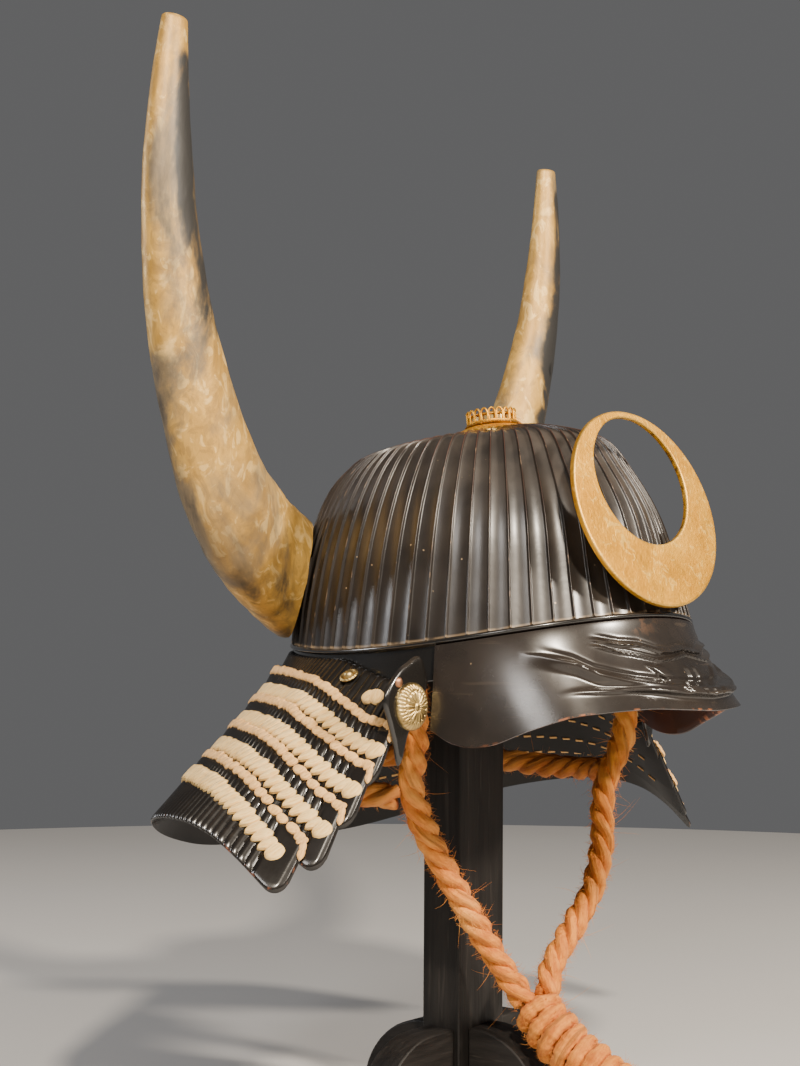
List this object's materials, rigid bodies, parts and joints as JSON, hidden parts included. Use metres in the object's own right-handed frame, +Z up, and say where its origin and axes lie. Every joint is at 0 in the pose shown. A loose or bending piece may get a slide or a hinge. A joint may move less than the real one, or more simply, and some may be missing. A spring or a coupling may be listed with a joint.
{
  "type": "kabuto samurai helmet on a plain wooden stand",
  "caption": "Ribbed lacquered samurai helmet with gilt horns, ring crest, embossed visor, laced neck guard and hemp chin cord, resting on its plain black wooden stand.",
  "frame": {"origin": "middle of the stand post's underside, on the table", "axes": "+Z up, the helmet faces -Y, the wearer's right side is -X"},
  "size_m": [0.4206, 0.3171, 0.599],
  "materials": {
    "black_lacquer": "worn gloss black lacquer over iron, brown where rubbed",
    "brown_black_lacquer": "gloss black lacquer, chipped to tan at the edge, red-brown underneath",
    "gold": "brushed, lightly scratched gilding",
    "old_brass": "dull old brass",
    "copper": "dull copper alloy",
    "worn_gilt_wood": "patchy worn gold leaf over grey-black lacquered wood",
    "dark_iron": "dark matt iron",
    "silk_lacing": "cream braided lacing",
    "hemp_rope": "orange-tan twisted hemp with loose fibres",
    "stained_wood": "black-stained open-grained wood"
  },
  "bodies": {
    "root": {"stand_head_pad": "stained_wood", "stand_post": "stained_wood", "foot_left": "stained_wood", "foot_right": "stained_wood", "foot_back": "stained_wood", "foot_front": "stained_wood", "bowl": "black_lacquer", "rim_band": "black_lacquer", "visor": "brown_black_lacquer", "crest": "gold", "crest_mount": "copper", "crown_plate": "gold", "crown_washer": "old_brass", "crown_ring": "gold", "crown_loop": "silk_lacing", "horn_strap": "dark_iron", "horn_right": "worn_gilt_wood", "horn_left": "worn_gilt_wood", "lame_1": "black_lacquer", "lame_2": "black_lacquer", "lame_3": "black_lacquer", "lame_4": "black_lacquer", "lame_5": "black_lacquer", "lacing_2": "silk_lacing", "lacing_3": "silk_lacing", "lacing_4": "silk_lacing", "lacing_5": "silk_lacing", "wing_right": "black_lacquer", "wing_left": "black_lacquer", "rosette_right": "old_brass", "rosette_left": "old_brass", "wing_stud_right": "copper", "wing_stud_left": "copper", "rivet_right": "old_brass", "rivet_left": "old_brass", "cord_anchor_right": "dark_iron", "cord_anchor_left": "dark_iron", "chin_cord_right": "hemp_rope", "chin_cord_left": "hemp_rope", "nape_cord": "hemp_rope", "cord_binding": "hemp_rope"}
  },
  "joints": []
}
